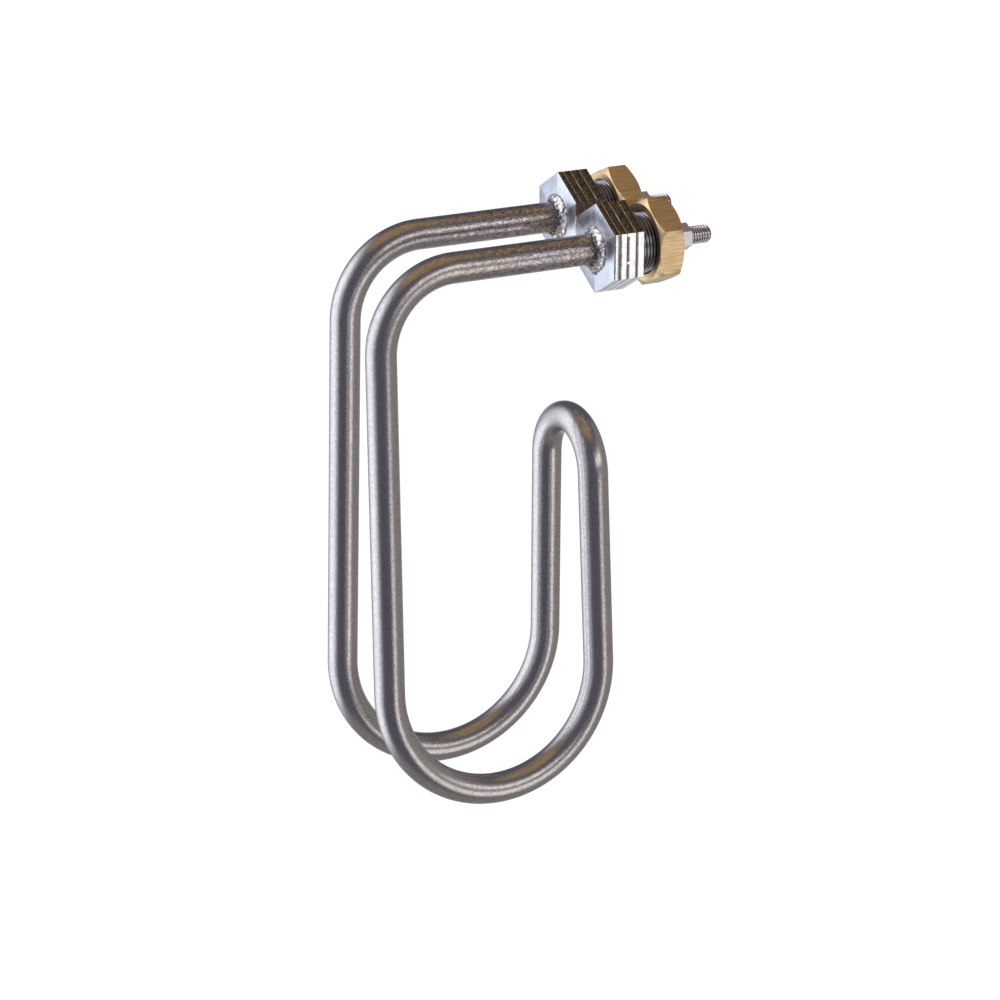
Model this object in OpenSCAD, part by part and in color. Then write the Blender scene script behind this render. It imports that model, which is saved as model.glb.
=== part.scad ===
// Immersion heating element of a coffee brewer tank, in millimetres.
// One metal-sheathed tube is bent into a double hook and joined at its tip by a hairpin.
// Each end of the tube passes through a hexagonal fitting that clamps to the tank wall.
// The origin lies on the tank wall face, midway between the two fittings.
// +X points out of the tank towards the terminals, +Z is up, and left is -Y.

/* [Sheath] */
// Outside diameter of the sheath tube
tube_d = 8.0; // [7:0.1:9]
// Wall thickness of the sheath tube
tube_wall = 0.8; // [0.5:0.1:1.2]
// Draw-down of a bent length of tube, on the diameter
bend_draw = 0.02; // [0.02:0.01:0.2]

/* [Hook] */
// Straight arm of the left side, from the front plate to the top bend
reach = 40.5; // [30:0.5:60]
// Centreline radius of the top bends
top_bend_r = 21.2; // [16:0.1:30]
// Turn of the top bends, in degrees
top_bend_turn = 87.5; // [84:0.5:92]
// Straight drop of the left side
drop = 87.8; // [75:0.1:130]
// Centreline radius of the U bends at the bottom
u_bend_r = 30.5; // [27:0.1:34]
// Turn of the U bends, in degrees
u_bend_turn = 181.4; // [178:0.1:184]
// Straight riser from the U bend to the hairpin
riser = 50.6; // [30:0.1:60]
// Lean of the whole hook to the left of plumb, in degrees
hook_lean = 4.3; // [0:0.1:6]
// Tilt of each side away from the middle of the hook, in degrees
splay = 2.6; // [1:0.1:4]

/* [Fittings] */
// Distance between the two fittings, measured level
fitting_pitch = 21.0; // [20.8:0.1:24]
// Height of the right fitting above the left one
fitting_step = 3.6; // [0:0.1:5]
// Width across flats of the steel plates
plate_af = 20.6; // [18:0.1:20.7]
// Thickness of the front plate, which closes the stack around the tube
front_plate_t = 1.6; // [1:0.1:3]
// Thickness of the second plate
second_plate_t = 2.1; // [1:0.1:4]
// Thickness of the third plate
third_plate_t = 2.6; // [1:0.1:4]
// Thickness of the seat plate, whose outer face bears on the tank wall
seat_plate_t = 2.4; // [1:0.1:4]
// Outside diameter of the bushing thread
bushing_d = 15.9; // [13:0.1:16.2]
// Clamping space between the seat plate and the nut, for the wall and its gasket
wall_space = 4.9; // [2:0.1:7]
// Length of bushing that stands out past the nut
bushing_stick_out = 1.0; // [0.2:0.1:2]

/* [Nuts] */
// Width across flats of the brass nuts
nut_af = 20.6; // [19:0.1:20.7]
// Thickness of the brass nuts
nut_t = 7.2; // [5:0.1:9]
// Slope of the nut chamfers, in degrees
nut_chamfer = 30; // [15:1:35]
// Turn of the nuts from the plates, in degrees
nut_turn = 4; // [0:0.5:5]

/* [Braze] */
// Height and reach of the braze bead around the tube
bead_r = 2.1; // [1:0.1:3]
// Radius of the drop that hangs from the bead
drip_r = 1.5; // [0.8:0.1:2]

/* [Terminals] */
// Diameter of the cold pin inside the tube
pin_d = 2.0; // [1.6:0.1:2.4]
// Depth that the cold pin reaches behind the tank wall face
pin_depth = 28; // [22:0.5:36]
// Width across flats of the terminal shoulder
shoulder_af = 6.3; // [5:0.1:7.5]
// Length of the terminal shoulder
shoulder_t = 3.2; // [2:0.1:5]
// Turn of the terminal shoulder from the plates, in degrees
shoulder_turn = -5; // [-30:1:30]
// Outside diameter of the terminal thread
stud_d = 4.8; // [3.5:0.1:5]
// Length of the terminal thread
stud_l = 6.4; // [4:0.1:12]
// Chamfer at the tip of the terminal thread
stud_chamfer = 0.6; // [0.3:0.1:1]
// Diameter of the insulator collar outside the tube
collar_d = 8.0; // [7.5:0.1:9]
// Length of the insulator collar outside the tube
collar_t = 2.3; // [1.5:0.1:4]
// Length of the insulator spigot inside the tube
spigot_t = 4.0; // [2:0.1:6]
// Length of the end seal behind the insulator
seal_t = 2.5; // [1:0.1:4]

/* [Resistance coil] */
// Thickness of the coil wire
coil_wire_t = 0.5; // [0.3:0.05:0.5]
// Length of cold pin that the coil is wound on
coil_grip = 4; // [2:0.5:8]

/* [Clearances] */
// Gap around pieces that are pressed or brazed together, on the radius
close_gap = 0.05; // [0.03:0.01:0.1]
// Gap between the tube and the bushing bore, on the radius
bore_gap = 0.1; // [0.05:0.01:0.2]

/* [Hidden] */
$fn = 96;
left = -1;
right = 1;
tube_id = tube_d - 2*tube_wall;
packed_d = tube_id - 2*close_gap;
coil_d = pin_d + 2*(close_gap + coil_wire_t);

// Length by which neighbouring lengths of one piece run into each other
lap = 0.05;
// Length by which a cutter runs past the face that it leaves
cut = 1;

// Stations along the fitting, from the tank wall face outwards
stack_t = front_plate_t + second_plate_t + third_plate_t + seat_plate_t;
front_x = -stack_t;
nut_x = wall_space;
bushing_start_x = front_x + front_plate_t;
bushing_end_x = nut_x + nut_t + bushing_stick_out;
tube_end_x = bushing_end_x;
seal_x = tube_end_x - spigot_t - seal_t;
shoulder_x = tube_end_x + collar_t;
stud_end_x = shoulder_x + shoulder_t + stud_l;
pin_end_x = -pin_depth;
coil_end_x = pin_end_x + coil_grip;

// The hook seen in its own upright frame, in which both sides tilt alike
half_gap = (fitting_pitch*cos(hook_lean) - fitting_step*sin(hook_lean))/2;
half_rise = (fitting_pitch*sin(hook_lean) + fitting_step*cos(hook_lean))/2;
riser_heading = top_bend_turn + u_bend_turn;
extra_drop = 2*half_rise/(cos(splay)*sin(top_bend_turn));
riser_top = top_bend_r*(1 - cos(top_bend_turn)) + drop*sin(top_bend_turn)
    + u_bend_r*(cos(top_bend_turn) - cos(riser_heading)) + riser*sin(riser_heading);
hairpin_half = half_gap + (riser_top*cos(splay) + half_rise)*tan(splay);
inward_slope = -sin(splay)*sin(riser_heading);
hairpin_half_turn = 90 - asin(inward_slope);
hairpin_r = hairpin_half/sin(hairpin_half_turn);
hairpin_roll = 90 + atan(tan(splay)*cos(riser_heading));

// Places its children on the axis of one fitting
module at_fitting(side) {
    translate([0, side*fitting_pitch/2, side*fitting_step/2]) children();
}

// Turns its children's +Z to +X and sets them at a station of the fitting
module from_station(x) {
    translate([x, 0, 0]) rotate([0, 90, 0]) children();
}

// Straight length of round rod, with its children at the far end
module run(d, l) {
    cylinder(d = d, h = l + lap);
    translate([0, 0, l]) children();
}

// Bend of round rod towards +X, with its children at the far end
module bend(d, r, turn) {
    lapped_turn = turn + lap/r*180/PI;
    translate([r, 0, 0]) {
        rotate([90, 0, 0]) rotate([0, 0, 180 - lapped_turn])
            rotate_extrude(angle = lapped_turn) translate([r, 0]) circle(d = d - bend_draw);
        rotate([0, turn, 0]) translate([-r, 0, 0]) children();
    }
}

// One side of the hook as a rod, from a station of the fitting; the left side ends in the hairpin
module half_hook(d, side, start_x) {
    longer = side == right ? extra_drop : 0;
    arm = reach - longer*cos(top_bend_turn) + start_x - front_x;
    at_fitting(side) rotate([side*splay - hook_lean, 0, 0])
        translate([start_x, 0, 0]) rotate([0, -90, 0]) rotate([0, 0, 180])
            run(d, arm) bend(d, top_bend_r, top_bend_turn)
                run(d, drop + longer) bend(d, u_bend_r, u_bend_turn)
                    run(d, riser) if (side == left)
                        rotate([0, 0, -hairpin_roll]) bend(d, hairpin_r, 2*hairpin_half_turn);
}

// The whole hook as a rod whose two ends lie at one station of the fittings
module hook(d, start_x) {
    half_hook(d, left, start_x);
    half_hook(d, right, start_x);
}

// Hexagonal prism with its corners up and down
module hex_prism(af, t) {
    cylinder(d = af/cos(30), h = t, $fn = 6);
}

module sheath_tube() {
    color([0.52, 0.50, 0.52]) difference() {
        hook(tube_d, tube_end_x);
        hook(tube_id, tube_end_x + cut);
    }
}

// Packed insulating powder, around the coil and inside it
module magnesia_fill() {
    color([0.93, 0.92, 0.88]) {
        difference() {
            hook(packed_d, seal_x);
            hook(coil_d + 2*close_gap, coil_end_x);
            for (side = [left, right]) at_fitting(side)
                from_station(coil_end_x - cut)
                    cylinder(d = pin_d + 2*close_gap, h = seal_x - coil_end_x + 2*cut);
        }
        hook(coil_d - 2*coil_wire_t - 2*close_gap, pin_end_x);
    }
}

// Close-wound coil, drawn as the sleeve that its turns fill
module resistance_coil() {
    color([0.45, 0.42, 0.40]) difference() {
        hook(coil_d, coil_end_x);
        hook(coil_d - 2*coil_wire_t, coil_end_x + cut);
    }
}

// Cold pin, hexagonal shoulder and threaded stud, turned from one bar
module terminal_pin(side) {
    color([0.55, 0.53, 0.55]) at_fitting(side) {
        from_station(pin_end_x) rotate_extrude() polygon([
            [0, 0], [pin_d/2, 0], [pin_d/2, shoulder_x - pin_end_x + lap],
            [stud_d/2, shoulder_x - pin_end_x + lap], [stud_d/2, stud_end_x - stud_chamfer - pin_end_x],
            [stud_d/2 - stud_chamfer, stud_end_x - pin_end_x], [0, stud_end_x - pin_end_x]
        ]);
        rotate([shoulder_turn, 0, 0]) from_station(shoulder_x) hex_prism(shoulder_af, shoulder_t);
    }
}

module end_seal(side) {
    color([0.75, 0.25, 0.15]) at_fitting(side) difference() {
        from_station(seal_x) cylinder(d = packed_d, h = seal_t);
        from_station(seal_x - cut) cylinder(d = pin_d + 2*close_gap, h = seal_t + 2*cut);
    }
}

// Ceramic insulator: a spigot in the tube's end and a collar outside it
module insulator(side) {
    color([0.95, 0.94, 0.90]) at_fitting(side) difference() {
        union() {
            from_station(tube_end_x - spigot_t) cylinder(d = packed_d, h = spigot_t);
            from_station(tube_end_x) cylinder(d = collar_d, h = collar_t);
        }
        from_station(tube_end_x - spigot_t - cut)
            cylinder(d = pin_d + 2*close_gap, h = spigot_t + collar_t + 2*cut);
    }
}

// Hexagonal steel plate with a round hole
module plate(side, x, t, hole_d) {
    color([0.68, 0.70, 0.73]) at_fitting(side) difference() {
        from_station(x) hex_prism(plate_af, t);
        from_station(x - cut) cylinder(d = hole_d, h = t + 2*cut);
    }
}

module front_plate(side) {
    plate(side, front_x, front_plate_t, tube_d + 2*close_gap);
}

module second_plate(side) {
    plate(side, bushing_start_x, second_plate_t, bushing_d + 2*close_gap);
}

module third_plate(side) {
    plate(side, bushing_start_x + second_plate_t, third_plate_t, bushing_d + 2*close_gap);
}

module seat_plate(side) {
    plate(side, -seat_plate_t, seat_plate_t, bushing_d + 2*close_gap);
}

// Steel bushing that carries the plates and the nut; its thread is drawn plain
module bushing(side) {
    color([0.38, 0.38, 0.42]) at_fitting(side) difference() {
        from_station(bushing_start_x) cylinder(d = bushing_d, h = bushing_end_x - bushing_start_x);
        from_station(bushing_start_x - cut)
            cylinder(d = tube_d + 2*bore_gap, h = bushing_end_x - bushing_start_x + 2*cut);
    }
}

// Braze bead around the tube on the front plate, with the drop that ran to its foot
module braze(side) {
    color([0.62, 0.58, 0.52]) at_fitting(side) difference() {
        intersection() {
            union() {
                from_station(front_x) rotate_extrude() translate([tube_d/2, 0]) circle(r = bead_r);
                translate([front_x, 0, -tube_d/2 - bead_r]) sphere(r = drip_r);
            }
            from_station(front_x - bead_r) cylinder(d = plate_af, h = bead_r);
        }
        from_station(front_x - bead_r - cut)
            cylinder(d = tube_d + 2*close_gap, h = bead_r + 2*cut);
    }
}

// Brass hexagon nut, chamfered on both faces
module nut(side) {
    corner_r = nut_af/2/cos(30);
    chamfer_t = (corner_r - nut_af/2)*tan(nut_chamfer);
    color([0.70, 0.52, 0.26]) at_fitting(side) rotate([nut_turn, 0, 0]) difference() {
        intersection() {
            from_station(nut_x) hex_prism(nut_af, nut_t);
            from_station(nut_x) rotate_extrude() polygon([
                [0, 0], [nut_af/2, 0], [corner_r, chamfer_t],
                [corner_r, nut_t - chamfer_t], [nut_af/2, nut_t], [0, nut_t]
            ]);
        }
        from_station(nut_x - cut) cylinder(d = bushing_d + 2*close_gap, h = nut_t + 2*cut);
    }
}

sheath_tube();
magnesia_fill();
resistance_coil();
terminal_pin(left);  // left_terminal_pin
terminal_pin(right);  // right_terminal_pin
end_seal(left);  // left_end_seal
end_seal(right);  // right_end_seal
insulator(left);  // left_insulator
insulator(right);  // right_insulator
front_plate(left);  // left_front_plate
second_plate(left);  // left_second_plate
third_plate(left);  // left_third_plate
seat_plate(left);  // left_seat_plate
front_plate(right);  // right_front_plate
second_plate(right);  // right_second_plate
third_plate(right);  // right_third_plate
seat_plate(right);  // right_seat_plate
bushing(left);  // left_bushing
bushing(right);  // right_bushing
braze(left);  // left_braze
braze(right);  // right_braze
nut(left);  // left_nut
nut(right);  // right_nut
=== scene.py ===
"""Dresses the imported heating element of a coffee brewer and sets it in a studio."""
import logging
import math
from collections.abc import Callable, Iterable
from dataclasses import dataclass, field, replace
from enum import Enum

import bmesh
import bpy
from mathutils import Matrix, Vector, noise


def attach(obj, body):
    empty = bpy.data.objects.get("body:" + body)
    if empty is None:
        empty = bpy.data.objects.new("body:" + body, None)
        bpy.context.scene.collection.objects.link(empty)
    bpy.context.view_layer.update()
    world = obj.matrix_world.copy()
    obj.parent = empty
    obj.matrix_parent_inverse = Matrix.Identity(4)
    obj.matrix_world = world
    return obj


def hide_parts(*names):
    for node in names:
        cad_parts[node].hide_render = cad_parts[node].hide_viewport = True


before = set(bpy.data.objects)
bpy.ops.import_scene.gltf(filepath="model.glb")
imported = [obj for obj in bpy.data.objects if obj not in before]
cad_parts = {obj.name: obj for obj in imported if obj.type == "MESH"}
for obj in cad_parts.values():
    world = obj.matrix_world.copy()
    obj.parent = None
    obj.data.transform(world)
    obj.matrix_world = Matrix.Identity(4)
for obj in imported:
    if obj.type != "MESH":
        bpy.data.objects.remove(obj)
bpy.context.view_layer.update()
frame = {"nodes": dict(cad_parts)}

log = logging.getLogger("heating_element")

MM = 0.001
BODY = "root"

# Stations along a fitting, from the tank wall face outwards
FRONT_X = -8.7 * MM
NUT_X = 4.9 * MM
BUSHING_END_X = 13.1 * MM
SHOULDER_X = 15.4 * MM
TUBE_R = 4.0 * MM
BUSHING_R = 7.95 * MM


class Side(Enum):
    """The two sides of the hook, by the sign of Y on which their fitting lies."""

    LEFT = -1
    RIGHT = 1

    @property
    def word(self) -> str:
        """The side's name as it stands in a node's name."""
        return self.name.lower()

    @property
    def axis(self) -> Vector:
        """The point of the fitting's axis on the tank wall face."""
        return Vector((0.0, self.value * 10.5 * MM, self.value * 1.8 * MM))


# Shader maths


class Signal:
    """A shader socket that can stand in a Python expression."""

    def __init__(self, shader: "Shader", socket: bpy.types.NodeSocket) -> None:
        """Wraps one output socket of a shader's tree."""
        self.shader = shader
        self.socket = socket

    def _math(self, operation: str, *values: "Signal | float") -> "Signal":
        """Adds a Math node over this signal and other values."""
        return self.shader.math(operation, self, *values)

    def __add__(self, other: "Signal | float") -> "Signal":
        """The sum."""
        return self._math("ADD", other)

    __radd__ = __add__

    def __mul__(self, other: "Signal | float") -> "Signal":
        """The product."""
        return self._math("MULTIPLY", other)

    __rmul__ = __mul__

    def __sub__(self, other: "Signal | float") -> "Signal":
        """This signal less another."""
        return self._math("SUBTRACT", other)

    def __rsub__(self, other: float) -> "Signal":
        """A number less this signal."""
        return self.shader.math("SUBTRACT", other, self)

    def least(self, other: "Signal | float") -> "Signal":
        """The smaller of two values."""
        return self._math("MINIMUM", other)

    def most(self, other: "Signal | float") -> "Signal":
        """The larger of two values."""
        return self._math("MAXIMUM", other)

    def size(self) -> "Signal":
        """The value without its sign."""
        return self._math("ABSOLUTE")

    def ramp(self, low: float, high: float) -> "Signal":
        """A smooth step from 0 at low to 1 at high, which may lie below low."""
        return self.shader.node("ShaderNodeMapRange", {"interpolation_type": "SMOOTHSTEP"},
                                {"Value": self, "From Min": low, "From Max": high})

    def band(self, low: float, high: float, soft: float) -> "Signal":
        """A smooth band that is 1 between low and high and 0 past its soft edges."""
        return self.ramp(low - soft, low + soft) * self.ramp(high + soft, high - soft)


Value = Signal | float | tuple[float, ...]


class Shader:
    """A node tree that is written as expressions."""

    def __init__(self, tree: bpy.types.NodeTree) -> None:
        """Takes a tree and clears it."""
        self.tree = tree
        tree.nodes.clear()

    def node(self, kind: str, settings: dict | None = None,
             sockets: dict[str | int, Value] | None = None, out: str | int = 0) -> Signal:
        """Adds a node.

        Args:
            kind: The node's type.
            settings: Its settings, or "stops" for a colour ramp, which are set first.
            sockets: The values or links of its inputs, by name or number.
            out: The output to return.

        Returns:
            The chosen output as a signal.
        """
        made = self.tree.nodes.new(kind)
        for name, value in (settings or {}).items():
            if name == "stops":
                elements = made.color_ramp.elements
                while len(elements) < len(value):
                    elements.new(0.5)
                for element, (place, colour) in zip(elements, value):
                    element.position, element.color = place, (*colour, 1.0)
            else:
                setattr(made, name, value)
        for name, value in (sockets or {}).items():
            socket = made.inputs[name]
            if isinstance(value, Signal):
                self.tree.links.new(value.socket, socket)
            elif socket.type == "RGBA":
                socket.default_value = (*value[:3], 1.0)
            else:
                socket.default_value = value
        return Signal(self, made.outputs[out]) if len(made.outputs) else Signal(self, None)

    def math(self, operation: str, *values: Signal | float) -> Signal:
        """Adds a Math node over one to three values."""
        return self.node("ShaderNodeMath", {"operation": operation}, dict(enumerate(values)))

    def mix(self, factor: Value, low: Value, high: Value) -> Signal:
        """Mixes two colours, from low at a factor of 0 to high at 1."""
        return self.node("ShaderNodeMix", {"data_type": "RGBA"}, {0: factor, 6: low, 7: high}, out=2)

    def vector(self, operation: str, first: Value, second: Value) -> Signal:
        """Adds a Vector Math node."""
        return self.node("ShaderNodeVectorMath", {"operation": operation}, {0: first, 1: second})

    def grain(self, place: Signal, stretch: tuple[float, float, float],
              detail: float = 3.0, rough: float = 0.55) -> Signal:
        """Noise from 0 to 1 at so many cells a metre along each axis of a place."""
        return self.node("ShaderNodeTexNoise", {"noise_dimensions": "3D"},
                         {"Vector": self.vector("MULTIPLY", place, stretch), "Scale": 1.0,
                          "Detail": detail, "Roughness": rough})

    def split(self, vector: Signal) -> tuple[Signal, Signal, Signal]:
        """The three parts of a vector."""
        parts = self.node("ShaderNodeSeparateXYZ", None, {0: vector})
        outputs = parts.socket.node.outputs
        return tuple(Signal(self, outputs[axis]) for axis in range(3))

    def join(self, x: Value, y: Value, z: Value) -> Signal:
        """A vector from three parts."""
        return self.node("ShaderNodeCombineXYZ", None, {0: x, 1: y, 2: z})

    def bump(self, height: Signal, depth: float, normal: Signal | None = None) -> Signal:
        """A bumped normal from a height of 0 to 1, with its depth in metres."""
        sockets: dict[str | int, Value] = {"Height": height, "Distance": depth, "Strength": 1.0}
        if normal is not None:
            sockets["Normal"] = normal
        return self.node("ShaderNodeBump", None, sockets)


@dataclass(frozen=True)
class Finish:
    """A surface finish with the same settings all over, and the base of the richer ones."""

    name: str
    colour: tuple[float, float, float]
    metallic: float = 1.0
    roughness: float = 0.3

    def material(self) -> bpy.types.Material:
        """The finish's material, made on first use."""
        label = f"{self.name}_finish"
        found = bpy.data.materials.get(label)
        if found:
            return found
        made = bpy.data.materials.new(label)
        made.use_nodes = True
        made.diffuse_color = (*self.colour, 1.0)
        shader = Shader(made.node_tree)
        sockets: dict[str | int, Value] = {
            "Base Color": self.colour, "Metallic": self.metallic, "Roughness": self.roughness}
        sockets.update(self.surface(shader))
        principled = shader.node("ShaderNodeBsdfPrincipled", None, sockets)
        shader.node("ShaderNodeOutputMaterial", None, {"Surface": principled})
        return made

    def place(self, shader: Shader) -> Signal:
        """Where a point lies in the object's own frame, in metres."""
        return shader.node("ShaderNodeTexCoord", out="Object")

    def surface(self, shader: Shader) -> dict[str | int, Value]:
        """The sockets that vary over the surface."""
        speckle = shader.grain(self.place(shader), (900.0,) * 3, 4.0)
        low = tuple(part * 0.9 for part in self.colour)
        return {"Base Color": shader.mix(speckle, low, self.colour),
                "Normal": shader.bump(speckle, 0.01 * MM)}


# Mesh helpers


def station(side: Side, x: float, turn: float = 0.0) -> Matrix:
    """Takes local +Z to the row's +X at a station of one fitting.

    Args:
        side: The fitting.
        x: The station along it.
        turn: A turn about the fitting's axis, in degrees.

    Returns:
        The matrix from the local frame to the row's.
    """
    return (Matrix.Translation(side.axis + Vector((x, 0.0, 0.0)))
            @ Matrix.Rotation(math.radians(turn), 4, "X") @ Matrix.Rotation(math.pi / 2, 4, "Y"))


def finish_mesh(bm: bmesh.types.BMesh, name: str, dress: Iterable[Finish],
                sharp: float = 35.0, place: Matrix | None = None) -> bpy.types.Object:
    """Makes an object of a bmesh that is closed and points outwards.

    Args:
        bm: The shape, in its local frame.
        name: The object's name.
        dress: The finishes of its material slots, in order.
        sharp: Edges that turn by more than this many degrees stay sharp.
        place: The matrix from the local frame to the row's.

    Returns:
        The object, with its place in its mesh.
    """
    bmesh.ops.remove_doubles(bm, verts=bm.verts, dist=1e-7)
    bmesh.ops.dissolve_degenerate(bm, edges=bm.edges, dist=1e-8)
    if place is not None:
        bmesh.ops.transform(bm, matrix=place, verts=bm.verts)
    bmesh.ops.recalc_face_normals(bm, faces=bm.faces)
    for face in bm.faces:
        face.smooth = True
    for edge in bm.edges:
        edge.smooth = len(edge.link_faces) == 2 and edge.calc_face_angle(0.0) < math.radians(sharp)
    open_edges = sum(not edge.is_manifold for edge in bm.edges)
    mesh = bpy.data.meshes.new(name)
    bm.to_mesh(mesh)
    bm.free()
    for finish in dress:
        mesh.materials.append(finish.material())
    made = bpy.data.objects.new(name, mesh)
    bpy.context.scene.collection.objects.link(made)
    log.info("%s: %d faces, %d open edges", name, len(mesh.polygons), open_edges)
    return made


def mount(piece: bpy.types.Object, slot: str, *nodes: str) -> bpy.types.Object:
    """Lets a piece stand for its nodes: hangs it on the body and hides the nodes; the slot is not used."""
    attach(piece, BODY)
    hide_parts(*nodes)
    return piece


def ring(bm: bmesh.types.BMesh, radius: float, z: float, count: int,
         shape: Callable[[Vector], Vector] | None = None) -> list[bmesh.types.BMVert]:
    """Adds a circle of edges at a height, whose points a function may move."""
    made = bmesh.ops.create_circle(bm, segments=count, radius=radius,
                                   matrix=Matrix.Translation((0.0, 0.0, z)))["verts"]
    if shape:
        for vert in made:
            vert.co = shape(vert.co)
    return made


def loft(bm: bmesh.types.BMesh, rings: list[list[bmesh.types.BMVert]], closed: bool) -> None:
    """Joins rings of as many points each into a skin.

    Args:
        bm: The shape that holds the rings.
        rings: The rings in order.
        closed: Whether the last ring is joined to the first, or both ends are capped.
    """
    def edges(verts: list[bmesh.types.BMVert]) -> list[bmesh.types.BMEdge]:
        """The edges of one ring."""
        inside = set(verts)
        return [edge for edge in {edge for vert in verts for edge in vert.link_edges}
                if edge.verts[0] in inside and edge.verts[1] in inside]

    loops = [edges(verts) for verts in rings]
    pairs = list(zip(loops, loops[1:])) + ([(loops[-1], loops[0])] if closed else [])
    for low, high in pairs:
        bmesh.ops.bridge_loops(bm, edges=low + high)
    if not closed:
        for verts in (rings[0], rings[-1]):
            bmesh.ops.contextual_create(bm, geom=verts)


def hexagon(half_flats: float, tip: float = 0.0) -> Callable[[Vector], Vector]:
    """Moves a point of a circle outwards to a hexagon.

    Args:
        half_flats: Half the width across flats.
        tip: The angle of one corner, in degrees.

    Returns:
        The function that moves a point of a circle of radius half_flats.
    """
    def moved(point: Vector) -> Vector:
        """The point of the hexagon at the same angle."""
        angle = (math.degrees(math.atan2(point.y, point.x)) - tip) % 60.0 - 30.0
        grow = half_flats / math.cos(math.radians(angle)) / point.xy.length
        return Vector((point.x * grow, point.y * grow, point.z))

    return moved


def thread(bm: bmesh.types.BMesh, crest_r: float, root_r: float, pitch: float,
           low: float, high: float, flat: float, steps: int = 48) -> None:
    """Winds a screw thread as an open skin between two heights.

    Args:
        bm: The shape to add it to.
        crest_r: Radius over the crests.
        root_r: Radius at the roots.
        pitch: Rise of one turn.
        low: Height at which the skin is cut off.
        high: Height at which it ends.
        flat: Share of the pitch that is flat crest, and the same for the root.
        steps: Segments of one turn.
    """
    turns = math.ceil((high - low) / pitch) + 2
    start = low - pitch
    profile = [(crest_r, 0.0), (crest_r, flat), (root_r, 0.5), (root_r, 0.5 + flat), (crest_r, 1.0)]
    verts = [bm.verts.new((radius, 0.0, start + share * pitch)) for radius, share in profile]
    edges = [bm.edges.new(pair) for pair in zip(verts, verts[1:])]
    bmesh.ops.spin(bm, geom=verts + edges, cent=(0.0, 0.0, 0.0), axis=(0.0, 0.0, 1.0),
                   dvec=(0.0, 0.0, pitch / steps), angle=2 * math.pi * turns,
                   steps=steps * turns, use_merge=False)
    bmesh.ops.remove_doubles(bm, verts=bm.verts, dist=1e-6)
    for height, normal in ((low, -1.0), (high, 1.0)):
        bmesh.ops.bisect_plane(bm, geom=bm.verts[:] + bm.edges[:] + bm.faces[:], dist=1e-8,
                               plane_co=(0.0, 0.0, height), plane_no=(0.0, 0.0, normal),
                               clear_outer=True)


# Finishes


def from_axis(shader: Shader, place: Signal) -> Signal:
    """How far a point lies from the nearer fitting's axis, in metres."""
    flat = shader.vector("MULTIPLY", place, (0.0, 1.0, 1.0))
    left, right = (shader.node("ShaderNodeVectorMath", {"operation": "DISTANCE"},
                               {0: flat, 1: tuple(side.axis)}, out="Value") for side in Side)
    return left.least(right)


@dataclass(frozen=True)
class SheathSteel(Finish):
    """Drawn stainless tube with fine grain, handling marks and heat tint at the brazed ends."""

    length: float = 0.7
    hot: tuple[float, float] = (0.085, 0.030)

    def surface(self, shader: Shader) -> dict[str | int, Value]:
        """The sockets that vary over the surface."""
        u, v, _ = shader.split(shader.node("ShaderNodeUVMap", {"uv_map": "bar"}))
        angle = u * math.tau
        bar = shader.join(shader.math("COSINE", angle) * TUBE_R, shader.math("SINE", angle) * TUBE_R, v)
        speckle = shader.grain(bar, (1700.0, 1700.0, 1150.0), 3.0, 0.6)
        lines = shader.grain(bar, (2300.0, 2300.0, 60.0), 2.0)
        cloud = shader.grain(bar, (160.0, 160.0, 60.0), 3.0)
        heated = v.least(self.length - v).ramp(*self.hot)
        marks = shader.grain(bar, (2100.0, 2100.0, 700.0), 1.0).ramp(0.70, 0.76) * cloud.ramp(0.45, 0.6)
        pits = shader.grain(bar, (1300.0, 1300.0, 1000.0), 2.0).ramp(0.60, 0.66) * heated
        burnt = v.least(self.length - v).band(21.5 * MM, 24.0 * MM, 1.2 * MM) * speckle.ramp(0.38, 0.50)
        clean = shader.mix(cloud, tuple(part * 0.86 for part in self.colour), self.colour)
        tinted = shader.mix(cloud.ramp(0.38, 0.62), (0.56, 0.45, 0.34), (0.55, 0.50, 0.56))
        base = shader.mix(heated * 0.8, clean, tinted)
        base = shader.mix(speckle.ramp(0.44, 0.60) * (0.16 + 0.34 * heated), base, (0.19, 0.17, 0.19))
        base = shader.mix(speckle.ramp(0.46, 0.34) * (0.12 + 0.55 * heated), base, (0.92, 0.89, 0.86))
        base = shader.mix((pits * 0.7 + marks * 0.5).most(burnt * 0.9), base, (0.045, 0.032, 0.028))
        relief = (speckle * 0.75 + lines * 0.25) * (0.34 + 0.66 * heated)
        return {"Base Color": base, "Roughness": 0.19 + 0.10 * speckle + 0.07 * lines,
                "Normal": shader.bump(relief, 0.11 * MM)}


@dataclass(frozen=True)
class PlateFace(Finish):
    """Ground plate faces, mottled, with a pale ring of flux stain about the bead."""

    halo: tuple[float, float] = (8.0 * MM, 6.0 * MM)

    def surface(self, shader: Shader) -> dict[str | int, Value]:
        """The sockets that vary over the surface."""
        place = self.place(shader)
        mottle = shader.grain(place, (520.0,) * 3, 5.0, 0.6)
        fine = shader.grain(place, (1700.0,) * 3, 3.0, 0.6)
        stain = from_axis(shader, place).ramp(*self.halo)
        base = shader.mix(mottle.ramp(0.3, 0.7), tuple(part * 0.80 for part in self.colour), self.colour)
        base = shader.mix(stain * 0.45, base, (0.78, 0.78, 0.80))
        base = shader.mix(fine.ramp(0.60, 0.72) * 0.5, base, (0.22, 0.22, 0.25))
        return {"Base Color": base, "Roughness": 0.24 + 0.16 * mottle + 0.08 * stain,
                "Normal": shader.bump(mottle * 0.6 + fine * 0.4, 0.03 * MM)}


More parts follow.
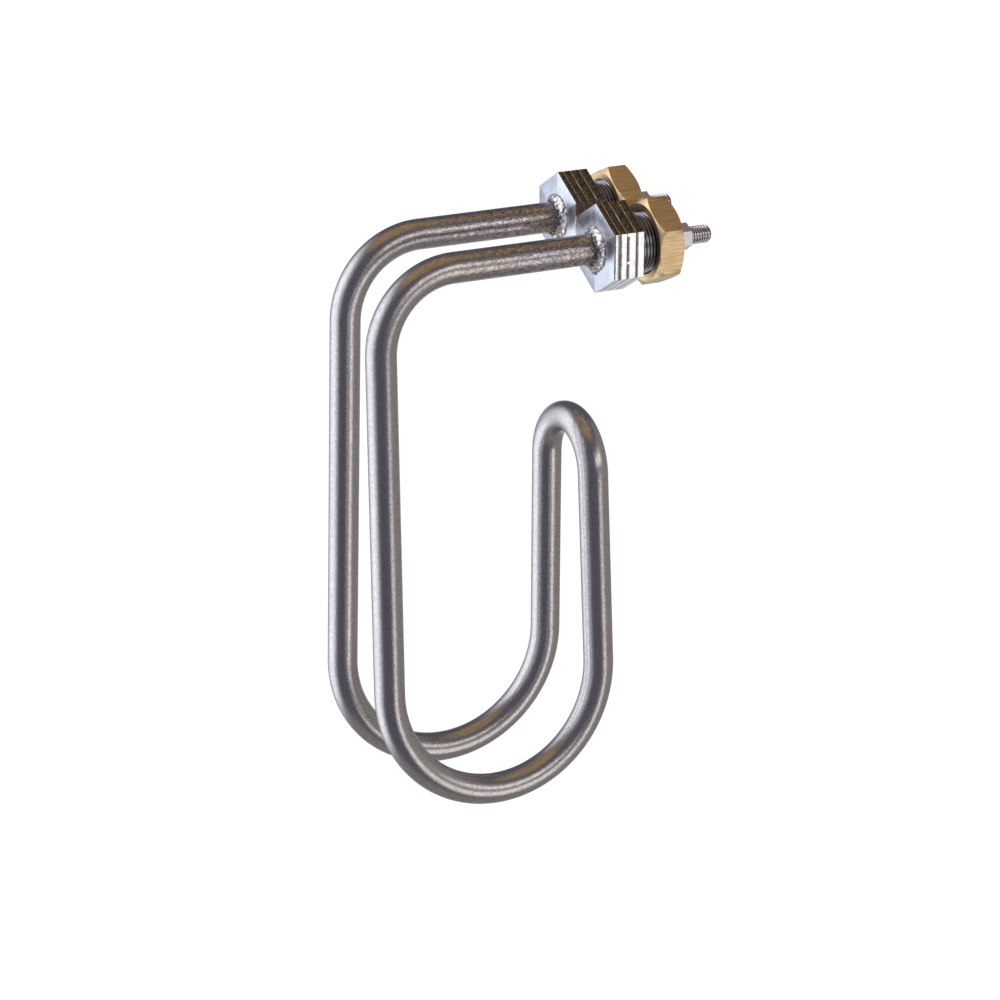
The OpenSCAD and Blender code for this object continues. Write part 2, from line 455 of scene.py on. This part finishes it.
@dataclass(frozen=True)
class PlateEdge(Finish):
    """Sheared rims of the plates: bright at the sides, with painted shade on the upward-facing rims, grainy
    there, and painted highlights on their arrises.
    """

    rims: tuple[float, ...] = (-8.7 * MM, -7.1 * MM, -5.0 * MM, -2.4 * MM, 0.0)
    arris: tuple[float, float] = (0.22 * MM, 0.08 * MM)
    gap: tuple[float, float] = (0.12 * MM, 0.05 * MM)

    def surface(self, shader: Shader) -> dict[str | int, Value]:
        """The sockets that vary over the surface."""
        place = self.place(shader)
        x, _, _ = shader.split(place)
        _, _, up = shader.split(shader.node("ShaderNodeTexCoord", out="Normal"))
        # Painted shade: rims that face upwards are made darker than the sides.
        painted_shade_above = up.ramp(0.25, 0.55)
        joint = (x - self.rims[1]).size()
        for rim in self.rims[2:-1]:
            joint = joint.least((x - rim).size())
        # Painted highlight: pale lines along every plate's arrises.
        arris_highlight = joint.least((x - self.rims[0]).size()).least((x - self.rims[-1]).size()).ramp(*self.arris)
        gap = joint.ramp(*self.gap)
        drag = shader.grain(place, (2400.0, 260.0, 260.0), 3.0, 0.6)
        grit = shader.grain(place, (1900.0,) * 3, 3.0, 0.65)
        bright = shader.mix(drag.ramp(0.3, 0.7), tuple(part * 0.82 for part in self.colour), self.colour)
        bright = shader.mix(gap * (0.6 + 0.4 * drag), bright, (0.06, 0.055, 0.05))
        # A dark, grainy copy of the rim colour, painted shade for the upward-facing rims.
        shaded_rim = shader.mix(grit.ramp(0.42, 0.62), (0.07, 0.06, 0.05), (0.26, 0.24, 0.22))
        # The painted arris highlight goes on the shaded upper rims only.
        shaded_rim = shader.mix(arris_highlight * grit.ramp(0.30, 0.50) * 0.85, shaded_rim, (0.80, 0.78, 0.74))
        base = shader.mix(painted_shade_above, bright, shaded_rim)
        return {"Base Color": base, "Roughness": 0.15 + 0.14 * grit,
                "Normal": shader.bump(drag * 0.4 + grit * 0.6, 0.016 * MM)}


@dataclass(frozen=True)
class BrushedBrass(Finish):
    """Bar brass with the fine lines of its drawing along the axis, duller on the turned faces."""

    flats: float = 9.6 * MM

    def surface(self, shader: Shader) -> dict[str | int, Value]:
        """The sockets that vary over the surface."""
        place = self.place(shader)
        lines = shader.grain(place, (130.0, 3400.0, 3400.0), 3.0, 0.6)
        cloud = shader.grain(place, (260.0,) * 3, 3.0)
        radial = from_axis(shader, place)
        rings = shader.node("ShaderNodeTexNoise", {"noise_dimensions": "1D"},
                            {"W": radial * 2600.0, "Scale": 1.0, "Detail": 2.0})
        flat = radial.ramp(self.flats - 0.3 * MM, self.flats + 0.3 * MM)
        streak = lines * flat + rings * (1.0 - flat)
        deep = tuple(part * share for part, share in zip(self.colour, (0.76, 0.68, 0.56)))
        base = shader.mix(streak.ramp(0.34, 0.64), deep, self.colour)
        base = shader.mix(cloud.ramp(0.52, 0.72) * 0.3, base, (0.66, 0.42, 0.20))
        return {"Base Color": base, "Roughness": 0.26 + 0.14 * streak + 0.06 * cloud,
                "Normal": shader.bump(streak, 0.03 * MM)}


@dataclass(frozen=True)
class CutSteel(Finish):
    """Steel with a cut thread: bright on the crests, with painted shade in the roots between them."""

    crest_r: float = BUSHING_R
    root_r: float = BUSHING_R - 0.55 * MM

    def surface(self, shader: Shader) -> dict[str | int, Value]:
        """The sockets that vary over the surface."""
        place = self.place(shader)
        height = from_axis(shader, place).ramp(self.root_r, self.crest_r)
        grit = shader.grain(place, (1700.0,) * 3, 4.0, 0.6)
        # Painted shade: the thread roots are darkened where shade falls between the crests.
        root_shade = shader.mix(grit, tuple(part * 0.30 for part in self.colour),
                         tuple(part * 0.5 for part in self.colour))
        base = shader.mix(height.ramp(0.1, 0.8), root_shade, self.colour)
        return {"Base Color": base, "Roughness": 0.20 + 0.16 * grit,
                "Normal": shader.bump(grit, 0.012 * MM)}


@dataclass(frozen=True)
class BrazeMetal(Finish):
    """Filler metal that froze bright and lumpy, with painted shade in its hollows next to the tube."""

    def surface(self, shader: Shader) -> dict[str | int, Value]:
        """The sockets that vary over the surface."""
        place = self.place(shader)
        lumps = shader.grain(place, (1100.0,) * 3, 4.0, 0.6)
        beads = shader.grain(place, (1900.0,) * 3, 2.0, 0.6)
        crease_shade = from_axis(shader, place).ramp(TUBE_R + 0.75 * MM, TUBE_R + 0.15 * MM)
        base = shader.mix(lumps.ramp(0.40, 0.55), (0.42, 0.38, 0.36), self.colour)
        # Painted shade: hollows of the bead in its crease with the tube are nearly black.
        base = shader.mix(crease_shade * lumps.ramp(0.66, 0.42), base, (0.04, 0.03, 0.03))
        base = shader.mix(beads.ramp(0.62, 0.70) * 0.7, base, (0.08, 0.07, 0.07))
        return {"Base Color": base, "Roughness": 0.12 + 0.16 * beads,
                "Normal": shader.bump(lumps * 0.8 + beads * 0.2, 0.22 * MM)}


@dataclass(frozen=True)
class Powdery(Finish):
    """Fired, packed or cast surfaces, with pores and faint clouds."""

    cell: float = 0.4 * MM
    depth: float = 0.03 * MM

    def surface(self, shader: Shader) -> dict[str | int, Value]:
        """The sockets that vary over the surface."""
        place = self.place(shader)
        pores = shader.grain(place, (1.0 / self.cell,) * 3, 4.0, 0.65)
        cloud = shader.grain(place, (180.0,) * 3, 3.0)
        low = tuple(part * 0.82 for part in self.colour)
        base = shader.mix(cloud * 0.5 + pores * 0.5, low, self.colour)
        return {"Base Color": base, "Roughness": self.roughness - 0.08 + 0.16 * pores,
                "Normal": shader.bump(pores, self.depth)}


SHEATH = SheathSteel("sheath_steel", (0.61, 0.59, 0.59))
PLATE_FACE = PlateFace("plate_face", (0.71, 0.76, 0.87))
PLATE_EDGE = PlateEdge("plate_sheared_edge", (0.96, 0.95, 0.97))
BUSHING_STEEL = CutSteel("bushing_steel", (0.44, 0.44, 0.48))
PIN_STEEL = CutSteel("pin_steel", (0.90, 0.87, 0.90), crest_r=2.4 * MM, root_r=1.98 * MM)
BRAZE = BrazeMetal("braze_metal", (0.93, 0.92, 0.93))
BRASS = BrushedBrass("nut_brass", (0.94, 0.74, 0.46))
CERAMIC = Powdery("ceramic", (0.86, 0.84, 0.78), 0.0, 0.45)
MAGNESIA = Powdery("magnesia", (0.85, 0.83, 0.77), 0.0, 0.85)
COIL_WIRE = Finish("coil_alloy", (0.36, 0.34, 0.32), 1.0, 0.4)
SEAL_RESIN = Powdery("seal_resin", (0.45, 0.08, 0.04), 0.0, 0.35, depth=0.01 * MM)


# Sub-assemblies


@dataclass
class Bender:
    """Follows a tube's centreline as a bending machine does, and notes each step."""

    frame: Matrix
    steps: list[tuple[Matrix, float]] = field(default_factory=list)

    def _move(self, motion: Matrix, length: float) -> None:
        """Advances by a motion of the local frame."""
        after = self.frame @ motion
        self.steps.append((after @ self.frame.inverted(), length))
        self.frame = after

    def run(self, length: float, pace: float) -> None:
        """Goes straight on."""
        count = max(1, round(length / pace))
        for _ in range(count):
            self._move(Matrix.Translation((0.0, 0.0, length / count)), length / count)

    def bend(self, radius: float, turn: float, pace: float) -> None:
        """Bends towards local +X by a turn in degrees."""
        arc = math.radians(turn)
        count = max(1, round(radius * arc / pace))
        about = Matrix.Translation((radius, 0.0, 0.0))
        motion = about @ Matrix.Rotation(arc / count, 4, "Y") @ about.inverted()
        for _ in range(count):
            self._move(motion, radius * arc / count)

    def face(self, direction: Vector) -> None:
        """Rolls, so that the next bend goes towards a direction."""
        local = self.frame.to_3x3().inverted() @ direction
        self.frame = self.frame @ Matrix.Rotation(math.atan2(local.y, local.x), 4, "Z")


@dataclass
class SheathTube:
    """The one tube that is bent into the double hook."""

    outer_r: float = TUBE_R
    bore_r: float = 3.2 * MM
    reach: float = 40.5 * MM
    top_bend_r: float = 21.2 * MM
    top_bend_turn: float = 87.5
    drop: float = 87.8 * MM
    u_bend_r: float = 30.5 * MM
    u_bend_turn: float = 181.4
    riser: float = 50.6 * MM
    lean: float = 4.3
    splay: float = 2.6
    around: int = 60

    def _half(self, side: Side, pace: float) -> Bender:
        """Follows one side from its fitting to the top of the riser."""
        gap, rise = Side.RIGHT.axis.y, Side.RIGHT.axis.z
        lean = math.radians(self.lean)
        half_rise = gap * math.sin(lean) + rise * math.cos(lean)
        longer = 0.0
        if side is Side.RIGHT:
            longer = 2 * half_rise / (math.cos(math.radians(self.splay))
                                      * math.sin(math.radians(self.top_bend_turn)))
        arm = self.reach - longer * math.cos(math.radians(self.top_bend_turn)) + BUSHING_END_X - FRONT_X
        start = (Matrix.Translation(side.axis)
                 @ Matrix.Rotation(math.radians(side.value * self.splay - self.lean), 4, "X")
                 @ Matrix.Translation((BUSHING_END_X, 0.0, 0.0))
                 @ Matrix.Rotation(-math.pi / 2, 4, "Y") @ Matrix.Rotation(math.pi, 4, "Z"))
        path = Bender(start)
        path.run(arm, 3 * pace)
        path.bend(self.top_bend_r, self.top_bend_turn, pace)
        path.run(self.drop + longer, 3 * pace)
        path.bend(self.u_bend_r, self.u_bend_turn, pace)
        path.run(self.riser, 3 * pace)
        return path

    def centreline(self, pace: float) -> tuple[Matrix, list[tuple[Matrix, float]]]:
        """Follows the whole tube.

        Args:
            pace: The length of a step in the bends.

        Returns:
            The frame at the left end, and the steps to the right end.
        """
        left, right = self._half(Side.LEFT, pace), self._half(Side.RIGHT, pace)
        span = right.frame.translation - left.frame.translation
        ahead = left.frame.col[2].xyz
        across = span - ahead * span.dot(ahead)
        half_turn = math.acos(max(-1.0, min(1.0, ahead.dot(span.normalized()))))
        left.face(across)
        left.bend(span.length / 2 / math.sin(half_turn), 2 * math.degrees(half_turn), pace)
        start = (Matrix.Translation(Side.LEFT.axis)
                 @ Matrix.Rotation(math.radians(-self.splay - self.lean), 4, "X")
                 @ Matrix.Translation((BUSHING_END_X, 0.0, 0.0))
                 @ Matrix.Rotation(-math.pi / 2, 4, "Y") @ Matrix.Rotation(math.pi, 4, "Z"))
        back = [(motion.inverted(), length) for motion, length in reversed(right.steps)]
        return start, left.steps + back

    def _sweep(self, bm: bmesh.types.BMesh, radius: float, pace: float) -> list[list[bmesh.types.BMEdge]]:
        """Extrudes a ring along the centreline and lays its map, in turns and metres.

        Args:
            bm: The shape to add the skin to.
            radius: The skin's radius.
            pace: The length of a step in the bends.

        Returns:
            The edges of the first and the last ring.
        """
        start, steps = self.centreline(pace)
        chart = bm.loops.layers.uv["bar"]
        verts = bmesh.ops.create_circle(bm, segments=self.around, radius=radius, matrix=start)["verts"]
        place = {vert: (number / self.around, 0.0) for number, vert in enumerate(verts)}
        edges = [edge for edge in {e for v in verts for e in v.link_edges}]
        first, along = edges, 0.0
        for motion, length in steps:
            along += length
            made = bmesh.ops.extrude_edge_only(bm, edges=edges)["geom"]
            fresh = [item for item in made if isinstance(item, bmesh.types.BMVert)]
            faces = [item for item in made if isinstance(item, bmesh.types.BMFace)]
            edges = [item for item in made if isinstance(item, bmesh.types.BMEdge)
                     and item.verts[0] in set(fresh) and item.verts[1] in set(fresh)]
            for face in faces:
                for vert in face.verts:
                    if vert in place:
                        for edge in vert.link_edges:
                            other = edge.other_vert(vert)
                            if other not in place and other in face.verts:
                                place[other] = (place[vert][0], along)
            for face in faces:
                turns = [place[loop.vert][0] for loop in face.loops]
                wraps = max(turns) - min(turns) > 0.5
                for loop, turn in zip(face.loops, turns):
                    loop[chart].uv = (turn + 1.0 if wraps and turn < 0.5 else turn, place[loop.vert][1])
            bmesh.ops.transform(bm, matrix=motion, verts=fresh)
        return [first, edges]

    def build(self) -> bpy.types.Object:
        """Builds the tube with its bore."""
        length = sum(step for _, step in self.centreline(1.2 * MM)[1])
        bm = bmesh.new()
        bm.loops.layers.uv.new("bar")
        skin = self._sweep(bm, self.outer_r, 1.2 * MM)
        bore = self._sweep(bm, self.bore_r, 4.0 * MM)
        for outer, inner in zip(skin, bore):
            bmesh.ops.bridge_loops(bm, edges=outer + inner)
        piece = finish_mesh(bm, "sheath_tube_bent", [replace(SHEATH, length=length)])
        return mount(piece, "sheath_steel", "sheath_tube")


@dataclass
class PlateStack:
    """The hexagonal plates of one fitting."""

    side: Side
    half_flats: float = 10.3 * MM
    plates: tuple[tuple[str, float, float], ...] = (
        ("front_plate", 1.6 * MM, TUBE_R + 0.05 * MM), ("second_plate", 2.1 * MM, BUSHING_R + 0.05 * MM),
        ("third_plate", 2.6 * MM, BUSHING_R + 0.05 * MM), ("seat_plate", 2.4 * MM, BUSHING_R + 0.05 * MM))
    around: int = 144
    edge_round: float = 0.10 * MM
    wave: float = 0.02 * MM

    def _plate(self, name: str, low: float, thick: float, hole_r: float) -> bpy.types.Object:
        """Builds one plate with rounded, slightly wavy rims."""
        bm = bmesh.new()

        def rim(inset: float, salt: float) -> Callable[[Vector], Vector]:
            """The hexagon's outline, drawn in a little, with the shear's waviness."""
            shape = hexagon(self.half_flats - inset)

            def moved(point: Vector) -> Vector:
                """The outline's point at the same angle."""
                at = shape(point)
                wave = noise.noise(Vector((at.x, at.y, low + salt)) / (1.8 * MM))
                pull = self.wave * (wave + 0.9)
                return Vector((at.x, at.y, at.z)) - Vector((at.x, at.y, 0.0)).normalized() * pull
            return moved

        r = self.half_flats
        soft = self.edge_round
        rings = [ring(bm, hole_r, 0.0, self.around), ring(bm, r, 0.0, self.around, rim(soft * 1.6, 0.0)),
                 ring(bm, r, soft * 0.35, self.around, rim(soft * 0.6, 0.001)),
                 ring(bm, r, soft * 1.3, self.around, rim(0.0, 0.002)),
                 ring(bm, r, thick * 0.55, self.around, rim(0.0, 0.003)),
                 ring(bm, r, thick - soft * 1.0, self.around, rim(soft * 0.1, 0.004)),
                 ring(bm, r, thick - soft * 0.2, self.around, rim(soft * 0.5, 0.005)),
                 ring(bm, r, thick, self.around, rim(soft * 1.2, 0.006)),
                 ring(bm, hole_r, thick, self.around)]
        loft(bm, rings, True)
        for face in bm.faces:
            middle = face.calc_center_median()
            flat = abs(face.normal.z) > 0.95 or middle.xy.length < hole_r + 0.1 * MM
            face.material_index = 0 if flat else 1
        piece = finish_mesh(bm, f"{self.side.word}_{name}_punched", [PLATE_FACE, PLATE_EDGE],
                            place=station(self.side, low))
        return mount(piece, "plate_steel", f"{self.side.word}_{name}")

    def build(self) -> list[bpy.types.Object]:
        """Builds the plates from the front one to the seat plate."""
        made, low = [], FRONT_X
        for name, thick, hole_r in self.plates:
            made.append(self._plate(name, low, thick, hole_r))
            low += thick
        return made


@dataclass
class Bushing:
    """The threaded sleeve of one fitting."""

    side: Side
    bore_r: float = TUBE_R + 0.1 * MM
    start_x: float = FRONT_X + 1.6 * MM
    pitch: float = 1.0 * MM
    depth: float = 0.55 * MM
    chamfer: float = 0.5 * MM
    steps: int = 60

    def build(self) -> bpy.types.Object:
        """Builds the sleeve with its thread and a chamfer at the free end."""
        bm = bmesh.new()
        length = BUSHING_END_X - self.start_x
        thread(bm, BUSHING_R, BUSHING_R - self.depth, self.pitch, 0.0, length, 0.16, self.steps)
        for vert in bm.verts:
            limit = BUSHING_R - self.chamfer + min(vert.co.z, length - vert.co.z, self.chamfer)
            if vert.co.xy.length > limit:
                vert.co.xy = vert.co.xy.normalized() * limit
        rims = [[edge for edge in bm.edges if edge.is_boundary
                 and all(abs(vert.co.z - height) < 1e-6 for vert in edge.verts)]
                for height in (0.0, length)]
        bores = [ring(bm, self.bore_r, height, self.steps) for height in (0.0, length)]
        loft_edges = []
        for verts in bores:
            inside = set(verts)
            loft_edges.append([edge for edge in bm.edges
                               if edge.verts[0] in inside and edge.verts[1] in inside])
        for rim, bore in zip(rims, loft_edges):
            bmesh.ops.bridge_loops(bm, edges=rim + bore)
        bmesh.ops.bridge_loops(bm, edges=loft_edges[0] + loft_edges[1])
        piece = finish_mesh(bm, f"{self.side.word}_bushing_threaded", [BUSHING_STEEL],
                            place=station(self.side, self.start_x))
        return mount(piece, "bushing_steel", f"{self.side.word}_bushing")


@dataclass
class Nut:
    """The brass nut of one fitting."""

    side: Side
    half_flats: float = 10.3 * MM
    thick: float = 7.2 * MM
    chamfer: float = 30.0
    bore_r: float = BUSHING_R + 0.05 * MM
    countersink: float = 0.45 * MM
    turn: float = 4.0
    around: int = 168
    edge_round: float = 0.07 * MM

    def build(self) -> bpy.types.Object:
        """Builds the nut, whose chamfers leave arcs on its flats."""
        bm = bmesh.new()
        shape = hexagon(self.half_flats)
        slope = math.tan(math.radians(self.chamfer))

        def rim(top: bool) -> Callable[[Vector], Vector]:
            """Where the chamfer's cone meets the flats, at one end."""
            def moved(point: Vector) -> Vector:
                """The outline's point at the same angle."""
                at = shape(point)
                down = (at.xy.length - self.half_flats + 0.2 * MM) * slope
                at.z = self.thick - down if top else down
                return at
            return moved

        r, n, sink = self.half_flats, self.around, self.countersink
        rings = [ring(bm, self.bore_r, sink, n), ring(bm, self.bore_r + sink, 0.0, n),
                 ring(bm, r - 0.2 * MM, 0.0, n), ring(bm, r, 0.0, n, rim(False)),
                 ring(bm, r, self.thick / 2, n, shape), ring(bm, r, 0.0, n, rim(True)),
                 ring(bm, r - 0.2 * MM, self.thick, n), ring(bm, self.bore_r + sink, self.thick, n),
                 ring(bm, self.bore_r, self.thick - sink, n)]
        loft(bm, rings, True)
        bmesh.ops.recalc_face_normals(bm, faces=bm.faces)
        corners = [edge for edge in bm.edges if edge.calc_face_angle(0.0) > math.radians(44)
                   and all(vert.co.xy.length > self.half_flats * 1.1 for vert in edge.verts)]
        bmesh.ops.bevel(bm, geom=corners, offset=self.edge_round, affect="EDGES", segments=2,
                        profile=0.5, material=-1, clamp_overlap=True)
        piece = finish_mesh(bm, f"{self.side.word}_nut_chamfered", [BRASS], 25.0,
                            place=station(self.side, NUT_X, self.turn))
        return mount(piece, "nut_brass", f"{self.side.word}_nut")


@dataclass
class BrazeBead:
    """The filler metal around the tube on a front plate."""

    side: Side
    reach: float = 2.05 * MM
    inner: float = TUBE_R + 0.05 * MM
    drop_swell: float = 0.62
    drop_width: float = 0.26
    lump: float = 0.24 * MM
    around: int = 120

    def build(self) -> bpy.types.Object:
        """Builds the bead with its lumps and the drop at its foot."""
        bm = bmesh.new()
        section = [(0.0, 0.0), (0.0, 0.92), (0.13, 0.80), (0.27, 0.62), (0.40, 0.50), (0.52, 0.42),
                   (0.64, 0.34), (0.76, 0.25), (0.87, 0.14), (0.96, 0.0)]
        verts = [bm.verts.new((self.inner + out * self.reach, 0.0, -up * self.reach))
                 for out, up in section]
        edges = [bm.edges.new((a, b)) for a, b in zip(verts, verts[1:] + verts[:1])]
        bmesh.ops.spin(bm, geom=verts + edges, cent=(0.0, 0.0, 0.0), axis=(0.0, 0.0, 1.0),
                       angle=2 * math.pi, steps=self.around, use_merge=True)
        for vert in bm.verts:
            wall = vert.co.xy.normalized().to_3d() * self.inner
            off = vert.co - wall
            turn = math.atan2(vert.co.y, vert.co.x)
            swell = 1.0 + self.drop_swell * math.exp(-(turn / self.drop_width) ** 2)
            if off.length > 0.01 * MM:
                bump = noise.noise(vert.co / (1.3 * MM)) + 0.6 * noise.noise(vert.co / (0.55 * MM))
                vert.co = wall + off * swell + off.normalized() * bump * self.lump
                vert.co.z = min(vert.co.z, 0.0)
        piece = finish_mesh(bm, f"{self.side.word}_braze_bead", [BRAZE], 60.0,
                            place=station(self.side, FRONT_X))
        return mount(piece, "braze_metal", f"{self.side.word}_braze")


@dataclass
class TerminalPin:
    """The cold pin with its hexagonal shoulder and threaded stud."""

    side: Side
    pin_r: float = 1.0 * MM
    pin_start_x: float = -28.0 * MM
    shoulder_flats: float = 6.3 * MM
    shoulder_t: float = 3.2 * MM
    turn: float = -5.0
    stud_r: float = 2.4 * MM
    stud_l: float = 6.4 * MM
    pitch: float = 0.794 * MM
    depth: float = 0.42 * MM
    chamfer: float = 0.6 * MM
    steps: int = 48

    def build(self) -> bpy.types.Object:
        """Builds the pin, the shoulder and the thread as one closed skin."""
        bm = bmesh.new()
        n = self.steps
        shape = hexagon(self.shoulder_flats / 2)
        half, low = self.shoulder_flats / 2, SHOULDER_X - self.pin_start_x
        top = low + self.shoulder_t
        soft = 0.12 * MM
        end = top + self.stud_l
        root = self.stud_r - self.depth
        thread(bm, self.stud_r, root, self.pitch, top, end, 0.14, n)
        for vert in bm.verts:
            limit = self.stud_r - max(0.0, self.chamfer - (end - vert.co.z))
            if vert.co.xy.length > limit:
                vert.co.xy = vert.co.xy.normalized() * limit
        foot = [e for e in bm.edges if e.is_boundary and all(abs(v.co.z - top) < 1e-6 for v in e.verts)]
        tip = [e for e in bm.edges if e.is_boundary and all(abs(v.co.z - end) < 1e-6 for v in e.verts)]
        bmesh.ops.contextual_create(bm, geom=tip)
        rings = [ring(bm, self.pin_r, 0.0, n), ring(bm, self.pin_r, low, n),
                 ring(bm, half - soft, low, n, hexagon(half - soft)),
                 ring(bm, half, low + soft, n, shape), ring(bm, half, top - soft, n, shape),
                 ring(bm, half - soft, top, n, hexagon(half - soft))]
        last = set(rings[-1])
        loft(bm, rings, False)
        caps = [face for face in bm.faces if len(face.verts) == n and set(face.verts) == last]
        bmesh.ops.delete(bm, geom=caps, context="FACES_ONLY")
        rim = [e for e in bm.edges if e.verts[0] in last and e.verts[1] in last]
        bmesh.ops.bridge_loops(bm, edges=rim + foot)
        piece = finish_mesh(bm, f"{self.side.word}_terminal_stud", [PIN_STEEL],
                            place=station(self.side, self.pin_start_x, self.turn))
        return mount(piece, "pin_steel", f"{self.side.word}_terminal_pin")


@dataclass
class Insulator:
    """The ceramic bush in the tube's end."""

    side: Side
    spigot_r: float = 3.15 * MM
    spigot_l: float = 4.0 * MM
    collar_r: float = 4.0 * MM
    collar_l: float = 2.3 * MM
    bore_r: float = 1.05 * MM
    edge_round: float = 0.3 * MM

    def build(self) -> bpy.types.Object:
        """Turns the bush from its half section."""
        bm = bmesh.new()
        end = self.spigot_l + self.collar_l
        section = [(self.bore_r, 0.0), (self.spigot_r, 0.0), (self.spigot_r, self.spigot_l),
                   (self.collar_r, self.spigot_l), (self.collar_r, end), (self.bore_r, end)]
        verts = [bm.verts.new((radius, 0.0, z)) for radius, z in section]
        edges = [bm.edges.new((a, b)) for a, b in zip(verts, verts[1:] + verts[:1])]
        bmesh.ops.spin(bm, geom=verts + edges, cent=(0.0, 0.0, 0.0), axis=(0.0, 0.0, 1.0),
                       angle=2 * math.pi, steps=64, use_merge=True)
        rim = [edge for edge in bm.edges if all(abs(v.co.z - end) < 1e-6 for v in edge.verts)
               and all(v.co.xy.length > self.spigot_r for v in edge.verts)]
        bmesh.ops.bevel(bm, geom=rim, offset=self.edge_round, affect="EDGES", segments=3,
                        profile=0.5, material=-1)
        piece = finish_mesh(bm, f"{self.side.word}_insulator_bush", [CERAMIC],
                            place=station(self.side, BUSHING_END_X - self.spigot_l))
        return mount(piece, "ceramic", f"{self.side.word}_insulator")


@dataclass
class Core:
    """The pieces sealed inside the tube, which keep their solids."""

    dress: dict[str, Finish] = field(default_factory=lambda: {
        "magnesia_fill": MAGNESIA, "resistance_coil": COIL_WIRE,
        "left_end_seal": SEAL_RESIN, "right_end_seal": SEAL_RESIN})

    def build(self) -> None:
        """Gives each solid its finish."""
        for node, finish in self.dress.items():
            solid = frame["nodes"][node]
            for slot in solid.material_slots:
                slot.material = finish.material()
            log.info("%s: keeps its solid, finished in %s", node, finish.name)


# Studio


@dataclass
class Studio:
    """The camera, the pale floor and the world around them."""

    azimuth: float = -26.54
    elevation: float = 20.96
    distance: float = 0.7
    target: tuple[float, float, float] = (-30.75 * MM, 0.0, -70.9 * MM)
    lens: float = 94.56
    floor_z: float = -0.25

    def _axes(self) -> tuple[Vector, Vector]:
        """The level directions towards the camera and to its right."""
        turn = math.radians(self.azimuth)
        return Vector((math.sin(turn), -math.cos(turn), 0.0)), Vector((math.cos(turn), math.sin(turn), 0.0))

    def camera(self) -> None:
        """Sets the camera at the photograph's viewing angle."""
        level, _ = self._axes()
        rise = math.radians(self.elevation)
        back = level * math.cos(rise) + Vector((0.0, 0.0, math.sin(rise)))
        data = bpy.data.cameras.new("camera")
        data.lens, data.sensor_width, data.clip_start = self.lens, 36.0, 0.01
        made = bpy.data.objects.new("camera", data)
        made.location = Vector(self.target) + back * self.distance
        made.rotation_euler = back.to_track_quat("Z", "Y").to_euler()
        bpy.context.scene.collection.objects.link(made)
        bpy.context.scene.camera = made

    def floor(self) -> None:
        """Lays the pale floor, which the camera sees as white with the object's soft shadow."""
        bm = bmesh.new()
        bmesh.ops.create_circle(bm, cap_ends=True, segments=96, radius=6.0,
                                matrix=Matrix.Translation((0.0, 0.0, self.floor_z)))
        mesh = bpy.data.meshes.new("floor")
        bm.to_mesh(mesh)
        bm.free()
        made = bpy.data.materials.new("floor_paper")
        made.use_nodes = True
        shader = Shader(made.node_tree)
        seen = shader.node("ShaderNodeLightPath", out="Is Camera Ray")
        paper = shader.node("ShaderNodeBsdfDiffuse", None, {"Color": (0.30, 0.30, 0.30)})
        glow = shader.node("ShaderNodeEmission", None, {"Color": (1.0, 1.0, 1.0), "Strength": 0.94})
        bright = shader.node("ShaderNodeAddShader", None, {0: paper, 1: glow})
        plain = shader.node("ShaderNodeBsdfDiffuse", None, {"Color": (0.8, 0.8, 0.8)})
        both = shader.node("ShaderNodeMixShader", None, {0: seen, 1: plain, 2: bright})
        shader.node("ShaderNodeOutputMaterial", None, {"Surface": both})
        mesh.materials.append(made)
        floor = bpy.data.objects.new("floor", mesh)
        floor.visible_glossy = False
        bpy.context.scene.collection.objects.link(floor)

    def world(self) -> None:
        """Makes the room: white to the camera, with panels and shade for everything else."""
        level, right = self._axes()
        made = bpy.data.worlds.new("studio")
        made.use_nodes = True
        shader = Shader(made.node_tree)
        x, y, z = shader.split(shader.node("ShaderNodeTexCoord", out="Generated"))
        across, towards = x * right.x + y * right.y, x * level.x + y * level.y
        turn = shader.math("ARCTAN2", across, towards) * (180 / math.pi)
        rise = shader.math("ARCSINE", z) * (180 / math.pi)
        left_panel = turn.band(-128.0, -58.0, 26.0) * rise.band(-50.0, 46.0, 14.0)
        front_box = turn.band(41.0, 61.0, 4.0) * rise.band(-36.0, -6.0, 5.0)
        front_strip = turn.band(28.0, 78.0, 6.0) * rise.band(12.0, 28.0, 4.0)
        right_fill = turn.band(60.0, 140.0, 12.0) * rise.band(-60.0, 40.0, 12.0)
        over = rise.ramp(53.0, 65.0)
        under = rise.ramp(-38.0, -62.0)
        back = turn.size().ramp(135.0, 165.0) * rise.band(-50.0, 0.0, 10.0)
        room = shader.mix(left_panel, (0.125, 0.123, 0.160), (1.62, 1.66, 1.78))
        room = shader.mix(right_fill, room, (0.34, 0.315, 0.31))
        room = shader.mix(over, room, (0.43, 0.305, 0.16))
        room = shader.mix(under, room, (0.30, 0.28, 0.27))
        room = shader.mix(back * 0.8, room, (0.75, 0.76, 0.78))
        room = shader.mix(front_box, room, (1.55, 1.48, 1.42))
        room = shader.mix(front_strip, room, (1.7, 1.6, 1.5))
        paths = shader.node("ShaderNodeLightPath", out="Is Camera Ray")
        colour = shader.mix(paths, room, (1.0, 1.0, 1.0))
        background = shader.node("ShaderNodeBackground", None, {"Color": colour, "Strength": 1.0})
        shader.node("ShaderNodeOutputWorld", None, {"Surface": background})
        bpy.context.scene.world = made

    def build(self) -> None:
        """Sets up the whole studio."""
        self.camera()
        self.floor()
        self.world()
        bpy.context.scene.view_settings.view_transform = "Standard"


def main() -> None:
    """Builds the pieces in order."""
    logging.basicConfig(level=logging.INFO, format="%(message)s")
    Studio().build()
    SheathTube().build()
    Core().build()
    for side in Side:
        PlateStack(side).build()
        for part in (Bushing, Nut, BrazeBead, TerminalPin, Insulator):
            part(side).build()


if __name__ == "__main__":
    main()
